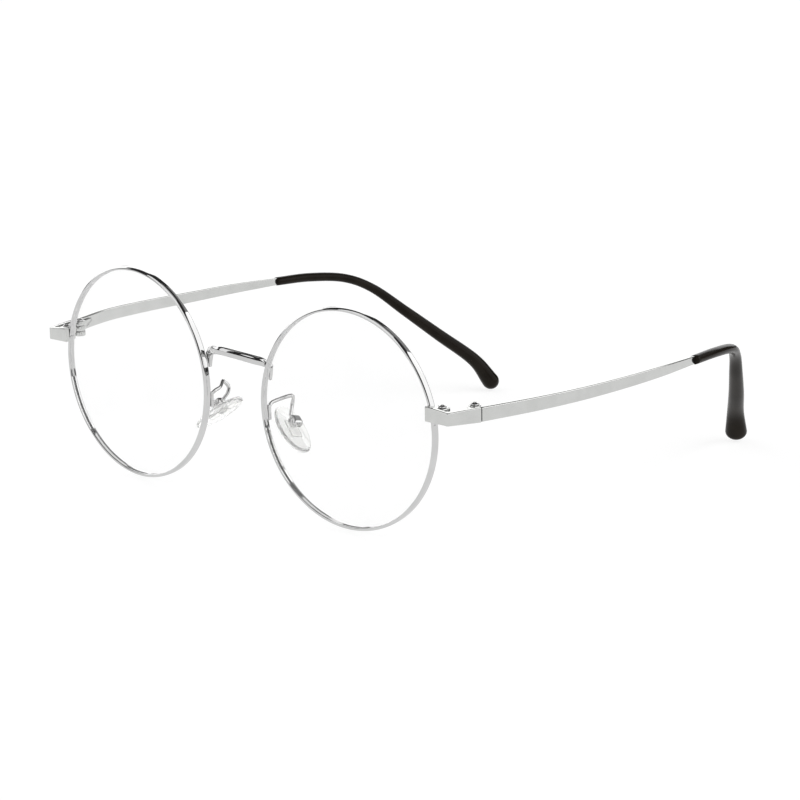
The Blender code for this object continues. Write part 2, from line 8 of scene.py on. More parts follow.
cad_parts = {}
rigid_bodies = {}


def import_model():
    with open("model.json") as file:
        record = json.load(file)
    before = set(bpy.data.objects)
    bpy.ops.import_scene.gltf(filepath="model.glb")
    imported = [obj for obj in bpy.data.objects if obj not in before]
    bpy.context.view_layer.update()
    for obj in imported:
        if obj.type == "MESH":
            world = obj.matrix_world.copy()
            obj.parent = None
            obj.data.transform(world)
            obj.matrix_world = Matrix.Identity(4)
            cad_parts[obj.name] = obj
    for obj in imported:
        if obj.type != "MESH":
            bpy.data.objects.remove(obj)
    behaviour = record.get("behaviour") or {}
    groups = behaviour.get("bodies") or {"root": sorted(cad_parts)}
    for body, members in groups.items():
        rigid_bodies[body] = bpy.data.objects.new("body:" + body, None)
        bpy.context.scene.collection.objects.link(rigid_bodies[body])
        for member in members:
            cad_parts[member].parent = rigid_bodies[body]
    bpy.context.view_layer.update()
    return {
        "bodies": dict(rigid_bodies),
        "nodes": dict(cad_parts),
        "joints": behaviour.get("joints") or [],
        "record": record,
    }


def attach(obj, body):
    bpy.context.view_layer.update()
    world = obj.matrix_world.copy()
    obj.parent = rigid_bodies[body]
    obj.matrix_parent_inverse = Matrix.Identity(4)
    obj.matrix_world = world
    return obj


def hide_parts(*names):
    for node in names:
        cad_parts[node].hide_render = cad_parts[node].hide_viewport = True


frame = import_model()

MM = 0.001

# Points are in the front's own frame, in millimetres: x to the wearer's left, y back to the ears, z up
# along the rims, whose centres lie at y = 0, z = 0. FRONT places that frame in the row frame.
HINGE = Vector((63.5859, 8.7575, 0.0))
FOLD = next(j for j in frame["joints"] if j["name"] == "left_temple_fold")
LEAN = math.atan2(-FOLD["axis"][1], FOLD["axis"][2])
TURN = Matrix.Rotation(LEAN, 4, "X")
FRONT = Matrix.Translation(Vector(FOLD["pos_m"]) - TURN.to_3x3() @ HINGE * MM) @ TURN

# The rim: where its centre stands, its section, the lens groove, the split and the small notch.
RIM_X = 33.93
FACE_WRAP = math.radians(2.8)
RIM_OUTER = 25.25
RIM_INNER = 24.45
RIM_FRONT = 0.70
RIM_BACK = -0.96
GROOVE_HALF = 0.33
GROOVE_DEPTH = 0.35
SLIT_Z = 5.06
SLIT = 0.14
NOTCH = (Vector((58.85, 0.0, 2.75)), Vector((59.6, 1.15, 3.8)))
GAP = 0.07
RIM_PLACE = (
    Matrix.Translation((RIM_X, 0, 0))
    @ Matrix.Rotation(FACE_WRAP, 4, "Z")
    @ Matrix.Rotation(math.pi / 2, 4, "X")
)
# The lens: the radius its faces curve to, and its thickness.
LENS_CURVE = 132.0
LENS_EDGE = 1.2

# The endpiece plate: its heights, how its edges run, and its outline seen from above.
PLATE_LOW, PLATE_HIGH = 3.7, 6.6
PLATE_SLOPE, PLATE_RISE, PLATE_FALL = -0.03, 0.08, 0.056
PLATE_START = Vector((57.7, -0.95))
PLATE_CORNER = Vector((64.05, -0.62))
PLATE_INSIDE = 0.34
SIDE_AWAY = Vector((0.245, 0.97, 0)).normalized()
SIDE_OUT = Vector((SIDE_AWAY.y, -SIDE_AWAY.x, 0))
SEAM_INSIDE = Vector((65.04, 8.39, 0))
PLATE_EDGE = 0.24
CORNER_R = 0.5
# The closing blocks behind the plate, the hinge's knuckle levels, and their screws.
BLOCK_LOW, BLOCK_HIGH = Vector((58.0, 0.48)), Vector((61.7, 3.1))
BLOCK_Z = (3.75, 6.8)
BLOCK_SCREW = (60.4, 1.85)
BLOCK_EDGE = 0.28
BLOCK_HEAD_R = 0.95
HINGE_HEAD_R = 1.05
HINGE_SCREW_LENGTH = 3.55
SCREW_R = 0.5
DRIVE_HALF = 0.13
KNUCKLE_R = 1.38
LEAF_BEHIND = 0.12
LEAF_THICK = 0.55
KNUCKLE_Z = (2.85, 4.04, 5.36, 6.5)
# Paths are (x, y, z, size) points; size scales the section, and is the tip's radius.
BAR_THICK = 1.18
BAR_HEIGHT = 3.3
BAR_EDGE = 0.36
BAR_PATH = [
    (65.62, 8.36, 4.82, 1.0),
    (68.9, 22.5, 4.72, 0.97),
    (70.1, 37.0, 4.25, 0.92),
    (70.05, 52.1, 3.75, 0.86),
    (69.5, 67.0, 3.4, 0.77),
    (68.0, 81.2, 2.97, 0.58),
]
TIP_PATH = [
    (68.05, 81.4, 2.97, 1.1),
    (66.26, 92.0, 2.48, 1.15),
    (63.28, 102.2, 0.91, 1.15),
    (59.51, 109.2, -2.61, 1.19),
    (54.71, 116.3, -9.25, 1.4),
    (49.35, 123.97, -16.61, 1.6),
    (43.68, 131.6, -24.06, 1.78),
    (41.05, 135.6, -30.4, 2.3),
]
TIP_WIDE = 1.2
BRIDGE_WIDE, BRIDGE_HIGH = 1.55, 2.0
BRIDGE_HALF = [
    (0.0, -5.1, 11.4, 1.0),
    (3.4, -4.0, 10.85, 1.0),
    (6.7, -1.55, 9.7, 1.05),
    (8.4, -0.4, 9.15, 0.98),
    (9.45, 0.55, 8.1, 0.68),
    (9.7, 0.7, 6.7, 0.6),
    (9.75, 0.68, 5.3, 0.45),
]
# The bridge's tabs, as levels: (x, z, half width, half depth).
TAB_BACK = 0.5
TAB = [
    (9.75, 5.0, 0.16, 0.16),
    (9.75, 5.3, 0.36, 0.36),
    (9.72, 6.2, 0.6, 0.48),
    (9.65, 7.4, 0.8, 0.56),
    (9.5, 8.5, 0.95, 0.6),
    (9.45, 8.9, 0.75, 0.45),
]
# The pad arm's wire and foot, then the pad: its axes, sizes and place under the box.
ARM_R = 0.45
ARM_PATH = [
    (9.3, 0.4, -1.2),
    (9.05, 1.5, -0.55),
    (9.3, 3.2, -0.2),
    (10.75, 5.3, 0.5),
    (11.2, 6.1, 0.35),
    (10.5, 6.9, -0.9),
    (10.35, 6.7, -2.3),
    (11.0, 5.56, -3.99),
]
FOOT = (Vector((8.85, -0.1, -4.3)), Vector((9.75, 0.75, -0.7)))
PAD_PIVOT = Vector((12.5, 5.6, -5.15))
PAD_LONG = Vector((0.754, -0.251, -0.607)).normalized()
PAD_WIDE = Vector((0.132, 0.963, -0.235))
PAD_HALF_LENGTH, PAD_HALF_WIDTH, PAD_THICK = 6.85, 4.0, 1.4
PAD_DROP = 0.45
PAD_SLIDE = 0.8
PAD_BOX = Vector((2.9, 2.9, 2.0))
BOX_EDGE = 0.8
BOX_TOP = 0.22
BOX_ROOM = 0.85
PAD_HEAD_R, PAD_HEAD_RISE, PAD_SHAFT_R = 0.7, 0.35, 0.4


# ---------------------------------------------------------------- materials


class Look:
    """A Principled material with its nodes; object coordinates are the row frame's, at rest."""

    def __init__(self, name, colour, metallic=0.0, roughness=0.3, **sockets):
        self.material = bpy.data.materials.new(name)
        self.material.use_nodes = True
        self.tree = self.material.node_tree
        self.shader = self.tree.nodes["Principled BSDF"]
        self.put("Base Color", (*colour, 1))
        self.put("Metallic", metallic)
        self.put("Roughness", roughness)
        for socket, value in sockets.items():
            self.put(socket.replace("_", " "), value)
        self.place = self.tree.nodes.new("ShaderNodeTexCoord").outputs["Object"]

    def put(self, socket, value):
        self.shader.inputs[socket].default_value = value

    def noise(self, scale, detail=3.0, stretch=(1, 1, 1), rough=0.5):
        """Noise over the piece; scale counts waves to the metre."""
        mapping = self.tree.nodes.new("ShaderNodeMapping")
        mapping.inputs["Scale"].default_value = stretch
        self.tree.links.new(self.place, mapping.inputs["Vector"])
        made = self.tree.nodes.new("ShaderNodeTexNoise")
        made.inputs["Scale"].default_value = scale
        made.inputs["Detail"].default_value = detail
        made.inputs["Roughness"].default_value = rough
        self.tree.links.new(mapping.outputs[0], made.inputs["Vector"])
        return made.outputs["Fac"]

    def spread(self, value, low, high):
        """A number that runs from low to high over the middle of the noise's range."""
        made = self.tree.nodes.new("ShaderNodeMapRange")
        made.inputs["From Min"].default_value = 0.3
        made.inputs["From Max"].default_value = 0.7
        made.inputs["To Min"].default_value = low
        made.inputs["To Max"].default_value = high
        self.tree.links.new(value, made.inputs["Value"])
        return made.outputs["Result"]

    def tint(self, value, first, second):
        """A colour that runs from the first to the second with the value."""
        made = self.tree.nodes.new("ShaderNodeValToRGB")
        made.color_ramp.elements[0].position = 0.35
        made.color_ramp.elements[1].position = 0.65
        made.color_ramp.elements[0].color = (*first, 1)
        made.color_ramp.elements[1].color = (*second, 1)
        self.tree.links.new(value, made.inputs["Fac"])
        return made.outputs["Color"]

    def drive(self, socket, value):
        self.tree.links.new(value, self.shader.inputs[socket])

    def bump(self, value, height):
        """Relief of the given height in metres."""
        made = self.tree.nodes.new("ShaderNodeBump")
        made.inputs["Strength"].default_value = 1.0
        made.inputs["Distance"].default_value = height
        self.tree.links.new(value, made.inputs["Height"])
        self.tree.links.new(made.outputs["Normal"], self.shader.inputs["Normal"])


def polished_look():
    look = Look("polished_silver", (0.58, 0.58, 0.58), 1.0)
    haze = look.noise(260, 4)
    look.drive("Roughness", look.spread(haze, 0.02, 0.07))
    look.drive("Base Color", look.tint(look.noise(120, 2), (0.56, 0.56, 0.56), (0.6, 0.6, 0.6)))
    look.bump(look.noise(900, 3), 0.000004)
    return look.material


def satin_look():
    look = Look("satin_silver", (0.57, 0.575, 0.565), 1.0)
    grain = look.noise(9000, 4, (1, 0.035, 1), 0.6)
    look.drive("Roughness", look.spread(grain, 0.09, 0.15))
    cloud = look.noise(300, 3)
    look.drive("Base Color", look.tint(cloud, (0.555, 0.56, 0.55), (0.585, 0.59, 0.58)))
    look.bump(grain, 0.000001)
    return look.material


def lens_look():
    look = Look("clear_lens", (1.0, 1.0, 1.0), 0.0, IOR=1.5)
    smear = look.noise(90, 3)
    look.drive("Roughness", look.spread(smear, 0.0, 0.05))
    look.drive("Alpha", look.spread(smear, 0.035, 0.06))
    return look.material


def silicone_look():
    look = Look("clear_silicone", (0.955, 0.96, 0.945), 0.0, IOR=1.28, Transmission_Weight=1.0)
    cloud = look.noise(700, 3)
    look.drive("Roughness", look.spread(cloud, 0.05, 0.16))
    look.put("Alpha", 0.8)
    look.bump(cloud, 0.000015)
    return look.material


def insert_look():
    look = Look("clear_insert", (0.97, 0.97, 0.96), 0.0, IOR=1.45, Transmission_Weight=1.0)
    flow = look.noise(500, 2)
    look.drive("Roughness", look.spread(flow, 0.03, 0.1))
    look.put("Alpha", 0.7)
    look.bump(flow, 0.00001)
    return look.material


def black_look():
    look = Look("black_acetate", (0.012, 0.01, 0.007), 0.0, IOR=1.16)
    swirl = look.noise(180, 4)
    look.drive("Base Color", look.tint(swirl, (0.009, 0.007, 0.005), (0.015, 0.012, 0.009)))
    look.drive("Roughness", look.spread(look.noise(1400, 3), 0.15, 0.24))
    look.bump(look.noise(900, 2), 0.000001)
    return look.material


POLISHED = polished_look()
SATIN = satin_look()
CLEAR = lens_look()
SILICONE = silicone_look()
INSERT = insert_look()
BLACK = black_look()


# ---------------------------------------------------------------- shapes


def smooth_path(points, per_span):
    """Points of a Catmull-Rom curve through the given ones, every coordinate interpolated."""
    count = len(points[0])
    ends = [[2 * points[0][k] - points[1][k] for k in range(count)]]
    tail = [[2 * points[-1][k] - points[-2][k] for k in range(count)]]
    knots = ends + [list(p) for p in points] + tail
    out = []
    for i in range(1, len(knots) - 2):
        a, b, c, d = knots[i - 1 : i + 3]
        for step in range(per_span):
            t = step / per_span
            out.append(
                [
                    0.5 * (2 * b[k] + (c[k] - a[k]) * t)
                    + 0.5 * (2 * a[k] - 5 * b[k] + 4 * c[k] - d[k]) * t**2
                    + 0.5 * (3 * b[k] - a[k] - 3 * c[k] + d[k]) * t**3
                    for k in range(count)
                ]
            )
    out.append(list(points[-1]))
    return out


def grid_mesh(name, loops):
    """A skin over loops of points, each loop closed, with its first and last loops filled."""
    form = bmesh.new()
    rows = [[form.verts.new(point) for point in loop] for loop in loops]
    count = len(rows[0])
    for one, two in zip(rows, rows[1:]):
        for j in range(count):
            k = (j + 1) % count
            form.faces.new((one[j], one[k], two[k], two[j]))
    form.faces.new(rows[0])
    form.faces.new(rows[-1])
    bmesh.ops.recalc_face_normals(form, faces=form.faces)
    mesh = bpy.data.meshes.new(name)
    form.to_mesh(mesh)
    form.free()
    return mesh


def sweep(name, path, section):
    """A section of (across, up) points along a path of (x, y, z, size), its up side kept upward."""
    points = [Vector(p[:3]) for p in path]
    loops = []
    for i, (centre, entry) in enumerate(zip(points, path)):
        along = (points[min(i + 1, len(points) - 1)] - points[max(i - 1, 0)]).normalized()
        side = along.cross(Vector((0, 0, 1))).normalized()
        up = side.cross(along)
        size = entry[3]
        loops.append([centre + (side * a + up * b) * size for a, b in section])
    return grid_mesh(name, loops)


def wire(name, path, radius, sides=28):
    """A round wire along (x, y, z, size) points, carried without twist, its ends domed."""
    points = [Vector(p[:3]) for p in path]
    sizes = [p[3] * radius for p in path]
    frames = []
    side = None
    for i, centre in enumerate(points):
        along = (points[min(i + 1, len(points) - 1)] - points[max(i - 1, 0)]).normalized()
        if side is None:
            side = along.orthogonal().normalized()
        side = (side - along * side.dot(along)).normalized()
        frames.append((centre, side, along.cross(side), along))
    stations = [(frame, size, 0.0) for frame, size in zip(frames, sizes)]
    dome = [(math.sin(a), math.cos(a)) for a in (math.radians(d) for d in (20, 45, 65, 80))]
    stations += [(frames[-1], sizes[-1] * c, sizes[-1] * s) for s, c in dome]
    stations = [(frames[0], sizes[0] * c, -sizes[0] * s) for s, c in reversed(dome)] + stations
    loops = []
    for (centre, one, two, along), size, shift in stations:
        loop = []
        for k in range(sides):
            angle = math.tau * k / sides
            loop.append(
                centre + along * shift + (one * math.cos(angle) + two * math.sin(angle)) * size
            )
        loops.append(loop)
    return grid_mesh(name, loops)


def ellipse(half_across, half_up, sides):
    return [
        (half_across * math.cos(math.tau * k / sides), half_up * math.sin(math.tau * k / sides))
        for k in range(sides)
    ]


def rounded_outline(half_width, half_height, corner, steps=5):
    """A closed rounded rectangle, as (across, up) points."""
    points = []
    for turn in range(4):
        across = half_width if turn in (0, 3) else -half_width
        up = half_height if turn in (0, 1) else -half_height
        for step in range(steps + 1):
            angle = math.radians(90 * turn + 90 * step / steps)
            centre_x = across - math.copysign(corner, across)
            centre_y = up - math.copysign(corner, up)
            points.append(
                (centre_x + corner * math.cos(angle), centre_y + corner * math.sin(angle))
            )
    return points


def round_corners(points, radii, steps=4):
    """A closed outline of (a, b) points with each corner rounded to its radius."""
    out = []
    count = len(points)
    for i, point in enumerate(points):
        corner = Vector(point)
        one = (Vector(points[i - 1]) - corner).normalized()
        two = (Vector(points[(i + 1) % count]) - corner).normalized()
        half = one.angle(two) / 2
        radius = radii[i]
        if radius <= 0:
            out.append(tuple(corner))
            continue
        centre = corner + (one + two).normalized() * radius / math.sin(half)
        start = corner + one * radius / math.tan(half) - centre
        end = corner + two * radius / math.tan(half) - centre
        turn = start.angle_signed(end)
        for k in range(steps + 1):
            out.append(tuple(centre + Matrix.Rotation(-turn * k / steps, 2) @ start))
    return out


def lathe(name, profile, steps, place):
    """A profile of (radius, height) points from axis to axis, turned about Z and placed."""
    form = bmesh.new()
    rows = []
    for radius, height in profile:
        if radius < 1e-6:
            rows.append([form.verts.new((0, 0, height))])
        else:
            rows.append(
                [
                    form.verts.new(
                        (
                            radius * math.cos(math.tau * k / steps),
                            radius * math.sin(math.tau * k / steps),
                            height,
                        )
                    )
                    for k in range(steps)
                ]
            )
    for one, two in zip(rows, rows[1:]):
        for k in range(steps):
            n = (k + 1) % steps
            corners = [one[k % len(one)], one[n % len(one)], two[n % len(two)], two[k % len(two)]]
            unique = list(dict.fromkeys(corners))
            if len(unique) > 2:
                form.faces.new(unique)
    form.transform(place)
    bmesh.ops.recalc_face_normals(form, faces=form.faces)
    mesh = bpy.data.meshes.new(name)
    form.to_mesh(mesh)
    form.free()
    return mesh


def block(name, low, high, place=None, bevel=0.0, segments=3):
    """A box between two corners, its edges rounded, placed by a matrix."""
    low, high = Vector(low), Vector(high)
    form = bmesh.new()
    bmesh.ops.create_cube(form, size=1.0)
    bmesh.ops.scale(form, vec=high - low, verts=form.verts)
    bmesh.ops.translate(form, vec=(high + low) / 2, verts=form.verts)
    if bevel:
        bmesh.ops.bevel(
            form, geom=form.edges[:], offset=bevel, segments=segments, profile=0.5, affect="EDGES"
        )
    if place:
        form.transform(place)
    bmesh.ops.recalc_face_normals(form, faces=form.faces)
    mesh = bpy.data.meshes.new(name)
    form.to_mesh(mesh)
    form.free()
    return mesh


def combined(mesh, others, operation):
    """The mesh joined with or cut by others, solved exactly."""
    obj = bpy.data.objects.new(mesh.name, mesh)
    bpy.context.scene.collection.objects.link(obj)
    tools = []
    for other in others:
        tool = bpy.data.objects.new(other.name, other)
        bpy.context.scene.collection.objects.link(tool)
        tools.append(tool)
        change = obj.modifiers.new(operation.lower(), "BOOLEAN")
        change.operation = operation
        change.solver = "EXACT"
        change.object = tool
    bpy.context.view_layer.update()
    graph = bpy.context.evaluated_depsgraph_get()
    made = bpy.data.meshes.new_from_object(obj.evaluated_get(graph))
    made.name = mesh.name
    for done in [obj, *tools]:
        bpy.data.objects.remove(done, do_unlink=True)
    return made


def shown(name, mesh, look, body, nodes, sharp=35):
    """An object from a mesh in the front's frame, riding on a body in place of CAD nodes."""
    mesh.transform(FRONT @ Matrix.Scale(MM, 4))
    mesh.materials.clear()
    mesh.materials.append(look)
    mesh.shade_smooth()
    mesh.set_sharp_from_angle(angle=math.radians(sharp))
    obj = bpy.data.objects.new(name, mesh)
    bpy.context.scene.collection.objects.link(obj)
    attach(obj, body)
    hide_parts(*nodes)
    return obj


def pair(mesh, look, body, node, sharp=35):
    """The wearer's left piece and its mirror image; body and node names take the side in front."""
    other = mesh.copy()
    other.transform(Matrix.Scale(-1, 4, (1, 0, 0)))
    other.flip_normals()
    made = []
    for side, form in (("left", mesh), ("right", other)):
        home = body if body == "front" else f"{side}_{body}"
        made.append(shown(f"{side}_{node}_look", form, look, home, [f"{side}_{node}"], sharp))
    return made


# ---------------------------------------------------------------- front


def rim():
    """The grooved wire, split at the temple side, where the closing blocks pull it together."""
    outline = [
        (RIM_OUTER, RIM_FRONT),
        (RIM_OUTER, RIM_BACK),
        (RIM_INNER, RIM_BACK),
        (RIM_INNER, -GROOVE_HALF),
        (RIM_INNER + GROOVE_DEPTH, 0),
        (RIM_INNER, GROOVE_HALF),
        (RIM_INNER, RIM_FRONT),
    ]
    profile = round_corners(outline, [0.6, 0.36, 0.22, 0.05, 0.03, 0.05, 0.14], 8)
    steps = 288
    start = math.asin(SLIT_Z / RIM_OUTER)
    half = SLIT / 2 / RIM_OUTER
    loops = []
    for i in range(steps + 1):
        angle = start + half + (math.tau - 2 * half) * i / steps
        loops.append(
            [RIM_PLACE @ Vector((r * math.cos(angle), r * math.sin(angle), h)) for r, h in profile]
        )
    notch = block("notch", NOTCH[0], NOTCH[1], None, 0.06)
    mesh = combined(grid_mesh("rim", loops), [notch], "DIFFERENCE")
    pair(mesh, POLISHED, "front", "rim", 50)


def lens():
    """A thin meniscus whose bevelled edge stands in the rim's groove."""
    shoulder = RIM_INNER - 0.12
    apex = RIM_INNER + GROOVE_DEPTH - 0.12
    rings = 14
    edge_sag = LENS_CURVE - math.sqrt(LENS_CURVE**2 - shoulder**2)
    front = []
    for i in range(rings + 1):
        radius = shoulder * i / rings
        sag = LENS_CURVE - math.sqrt(LENS_CURVE**2 - radius**2)
        front.append((radius, LENS_EDGE / 2 + edge_sag - sag))
    back = [(radius, height - LENS_EDGE) for radius, height in reversed(front)]
    bevel = [(shoulder, GROOVE_HALF), (apex, 0.04), (apex, -0.04), (shoulder, -GROOVE_HALF)]
    mesh = lathe("lens", front + bevel + back, 144, RIM_PLACE)
    pair(mesh, CLEAR, "front", "lens", 20)


def bridge():
    """One arched bar with soldered tabs turned down behind the rims."""
    mirrored = [(-x, y, z, size) for x, y, z, size in reversed(BRIDGE_HALF[1:])]
    path = smooth_path(mirrored + BRIDGE_HALF, 14)
    points = [Vector(p[:3]) for p in path]
    section = ellipse(BRIDGE_WIDE / 2, BRIDGE_HIGH / 2, 36)
    ends = []
    for end, before in ((0, 1), (-1, -2)):
        along = (points[end] - points[before]).normalized()
        size = path[end][3]
        reach = [(math.sin(math.radians(d)), math.cos(math.radians(d))) for d in (25, 50, 70, 84)]
        ends.append([(*(points[end] + along * 0.7 * size * s), size * c) for s, c in reach])
    mesh = sweep("bridge", list(reversed(ends[0])) + path + ends[1], section)
    solder = []
    for side in (1, -1):
        loops = []
        for x, z, across, deep in TAB:
            round_edge = min(across, deep) * 0.6
            outline = rounded_outline(across, deep, round_edge)
            loops.append([Vector((side * (x + a), TAB_BACK + b, z)) for a, b in outline])
        solder.append(grid_mesh("tab", loops))
    mesh = combined(mesh, solder, "UNION")
    shown("bridge_look", mesh, POLISHED, "front", ["bridge"], 60)


def endpiece():
    """A flat plate bent from the rim's front round to the side, its edges slightly rounded."""
    seam_out = (SEAM_INSIDE + SIDE_OUT * BAR_THICK).to_2d()
    seam_in = SEAM_INSIDE.to_2d()
    away = SIDE_AWAY.to_2d()
    elbow = seam_in + away * (PLATE_INSIDE - seam_in.y) / away.y
    inner = Vector((PLATE_START.x, PLATE_INSIDE))
    outline = round_corners(
        [PLATE_START, PLATE_CORNER, seam_out, seam_in, elbow, inner], [0, CORNER_R, 0, 0, 0.4, 0], 12
    )
    form = bmesh.new()
    levels = []
    for z in (PLATE_LOW, PLATE_HIGH):
        ring = []
        for x, y in outline:
            height = z + PLATE_SLOPE * (x - 62)
            if z > 5:
                height += PLATE_RISE * max(0.0, PLATE_CORNER.x - x)
            else:
                height -= PLATE_FALL * max(0.0, y - PLATE_CORNER.y)
            ring.append(form.verts.new((x, y, height)))
        levels.append(ring)
    low, high = levels
    form.faces.new(list(reversed(low)))
    form.faces.new(high)
    count = len(low)
    for i in range(count):
        k = (i + 1) % count
        form.faces.new((low[i], low[k], high[k], high[i]))
    bmesh.ops.recalc_face_normals(form, faces=form.faces)
    edges = [e for e in form.edges if e.calc_face_angle(0) > math.radians(30)]
    bmesh.ops.bevel(form, geom=edges, offset=PLATE_EDGE, segments=5, profile=0.5, affect="EDGES")
    mesh = bpy.data.meshes.new("endpiece")
    form.to_mesh(mesh)
    form.free()
    pair(mesh, SATIN, "front", "endpiece", 50)


def screw(stand, head, length, rise=0.5, shaft=0.48):
    """A screw with a low dome and a cross-cut drive, on the Z axis of the matrix it stands in."""
    dome = [(0, rise)]
    for i in range(1, 9):
        angle = math.radians(90 * i / 8)
        dome.append((head * math.sin(angle), 0.12 + (rise - 0.12) * math.cos(angle)))
    profile = dome + [(head, 0.03), (head - 0.03, 0), (shaft, 0), (shaft, 0.12 - length)]
    profile += [(shaft - 0.12, -length), (0, -length)]
    mesh = lathe("screw", profile, 48, stand)
    reach = head * 0.72
    deep = rise * 0.35
    cuts = [
        block("slot", (-reach, -DRIVE_HALF, deep), (reach, DRIVE_HALF, rise * 2), stand),
        block("cross", (-DRIVE_HALF, -reach, deep), (DRIVE_HALF, reach, rise * 2), stand),
    ]
    return combined(mesh, cuts, "DIFFERENCE")


def closing_blocks():
    """The two halves of the barrel behind the plate that pull the rim's ends together."""
    reach = 4.0
    room = RIM_OUTER + GAP
    profile = [(0, reach), (room, reach), (room, -reach), (0, -reach)]
    halves = (
        ("lower", BLOCK_Z[0], SLIT_Z - SLIT / 2),
        ("upper", SLIT_Z + SLIT / 2, BLOCK_Z[1]),
    )
    for node, low, high in halves:
        corners = Vector((BLOCK_LOW.x, BLOCK_LOW.y, low)), Vector((BLOCK_HIGH.x, BLOCK_HIGH.y, high))
        shape = block("closing_block", *corners, None, BLOCK_EDGE, 4)
        cuts = [lathe("rim_room", profile, 96, RIM_PLACE)]
        cuts.append(knuckle("hole", BLOCK_SCREW, 2.5, 7.5, SCREW_R + GAP, 0))
        mesh = combined(shape, cuts, "DIFFERENCE")
        pair(mesh, SATIN, "front", f"{node}_closing_block")


def knuckle(name, centre, low, high, radius, edge=0.16):
    """An upright cylinder with rounded edges."""
    profile = [(0, high)]
    for degrees in (0, 30, 60, 90) if edge else (90,):
        angle = math.radians(degrees)
        out = radius - edge * (1 - math.sin(angle))
        profile.append((out, high - edge * (1 - math.cos(angle))))
    profile += [(out, low + high - h) for out, h in reversed(profile)]
    return lathe(name, profile, 64, Matrix.Translation((*centre[:2], 0)))


def hinge_leaves():
    """The hinge's two leaves inside the side leg, with three knuckles on one screw."""
    turn = Matrix((SIDE_AWAY, SIDE_OUT, Vector((0, 0, 1)))).transposed().to_4x4()
    axes = Matrix.Translation(HINGE) @ turn
    outer = KNUCKLE_R + LEAF_BEHIND - GAP
    inner = outer - LEAF_THICK
    hole = knuckle("hole", HINGE, 2.0, 7.2, SCREW_R + GAP, 0)
    low_z, low_top, high_low, high_z = KNUCKLE_Z
    front = block("leaf", (-6, inner, low_z + 0.5), (-0.3, outer, high_z - 0.3), axes, 0.1)
    pieces = []
    for low, high in ((low_z, low_top - GAP), (high_low + GAP, high_z)):
        pieces.append(knuckle("knuckle", HINGE, low, high, KNUCKLE_R))
        pieces.append(block("web", (-2.2, 0.2, low + 0.15), (0.1, inner + 0.3, high - 0.15), axes))
    slot_low = (-KNUCKLE_R - 0.15, -2.0, low_top - GAP / 2)
    slot = block("slot", slot_low, (2.0, 2.0, high_low + GAP / 2), axes)
    front = combined(combined(front, pieces, "UNION"), [slot, hole.copy()], "DIFFERENCE")
    pair(front, SATIN, "front", "front_hinge_leaf")
    low, high = low_top + GAP / 2, high_low - GAP / 2
    back = block(
        "leaf", (KNUCKLE_R + 0.3, inner, low - 0.4), (6.6, outer, high + 0.4), axes, 0.1
    )
    pieces = [knuckle("knuckle", HINGE, low, high, KNUCKLE_R)]
    pieces.append(block("web", (0, 0.2, low + 0.15), (2.4, inner + 0.3, high - 0.15), axes))
    back = combined(combined(back, pieces, "UNION"), [hole], "DIFFERENCE")
    pair(back, SATIN, "temple", "temple_hinge_leaf")


def screws():
    top = BLOCK_Z[1] + GAP
    stand = Matrix.Translation((*BLOCK_SCREW, top))
    mesh = screw(stand, BLOCK_HEAD_R, top - BLOCK_Z[0] - 0.2)
    pair(mesh, POLISHED, "front", "closing_screw")
    stand = Matrix.Translation((HINGE.x, HINGE.y, KNUCKLE_Z[-1] + GAP))
    mesh = screw(stand, HINGE_HEAD_R, HINGE_SCREW_LENGTH)
    pair(mesh, POLISHED, "front", "hinge_screw")


# ---------------------------------------------------------------- temples


def temple_bar():
    """The bowed flat bar, its edges rounded and its hinge end faintly chamfered."""
    section = rounded_outline(BAR_THICK / 2, BAR_HEIGHT / 2, BAR_EDGE, 7)
    path = smooth_path(BAR_PATH, 16)
    first, second = Vector(path[0][:3]), Vector(path[1][:3])
    along = (second - first).normalized()
    start = [(*first, path[0][3] * 0.98), (*(first + along * 0.04), path[0][3])]
    mesh = sweep("temple_bar", start + path[1:], section)
    pair(mesh, SATIN, "temple", "temple_bar", 50)


def temple_tip():
    """The black tip: a rounded collar where the bar goes in, and a flared round end."""
    path = smooth_path(TIP_PATH, 14)
    points = [Vector(p[:3]) for p in path]
    along = (points[1] - points[0]).normalized()
    radius = path[0][3]
    mouth = []
    for back, shrink in ((0.12, 0.45), (0.12, 0.2), (0.09, 0.09), (0.0, 0.02)):
        mouth.append((*(points[0] - along * back), radius - shrink))
    tail = []
    last = (points[-1] - points[-2]).normalized()
    radius = path[-1][3]
    for degrees in (12, 24, 36, 48, 60, 70, 79, 86):
        angle = math.radians(degrees)
        tail.append((*(points[-1] + last * radius * math.sin(angle)), radius * math.cos(angle)))
    mesh = sweep("temple_tip", mouth + path[1:] + tail, ellipse(TIP_WIDE, 1, 48))
    pair(mesh, BLACK, "temple", "temple_tip", 60)


# ---------------------------------------------------------------- nose pads


def pad_axes():
    """Axes at the pad's pivot: along the pad, across it, and away from the nose."""
    away = PAD_LONG.cross(PAD_WIDE).normalized()
    across = away.cross(PAD_LONG).normalized()
    turn = Matrix((PAD_LONG, across, away)).transposed().to_4x4()
    return Matrix.Translation(PAD_PIVOT) @ turn


def pad_arm():
    """The foot behind the rim and the bent wire from it to the pad box."""
    foot = block("pad_arm", FOOT[0], FOOT[1], None, 0.22, 4)
    path = smooth_path([(*point, 1.0) for point in ARM_PATH], 10)
    mesh = combined(foot, [wire("arm_wire", path, ARM_R)], "UNION")
    pair(mesh, POLISHED, "front", "pad_arm", 40)


